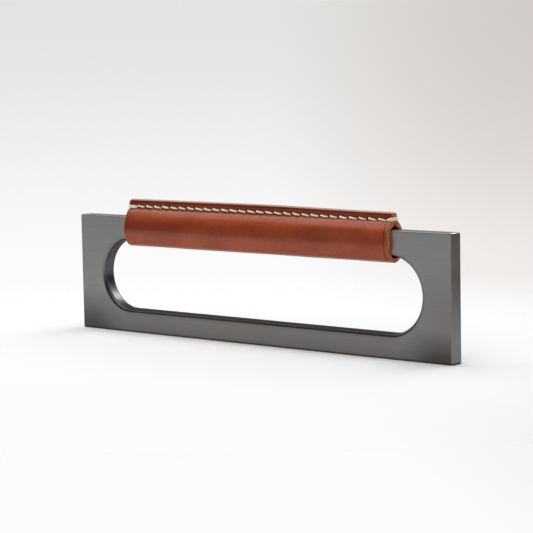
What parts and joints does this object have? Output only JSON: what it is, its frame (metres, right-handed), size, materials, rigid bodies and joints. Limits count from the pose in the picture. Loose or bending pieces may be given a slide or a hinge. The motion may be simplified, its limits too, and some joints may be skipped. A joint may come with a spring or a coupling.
{
  "type": "leather-wrapped plate pull",
  "caption": "Flat metal plate pull with a long round-ended finger window and a hand-stitched leather sleeve round its top bar.",
  "frame": {"origin": "middle of the base edge, the narrow face that meets the furniture", "axes": "+X along the pull, +Y through the plate from one broad face to the other, +Z from the base edge to the sleeved grip bar"},
  "size_m": [0.16, 0.008, 0.046],
  "materials": {
    "frame": "finely brushed, darkened to gunmetal grey, with warm worn edges",
    "leather": "smooth red-brown, waxed to a soft gloss",
    "thread": "waxed linen, cream"
  },
  "bodies": {
    "root": {"frame_plate": "frame", "leather_sleeve": "leather", "saddle_stitching": "thread"}
  },
  "joints": []
}
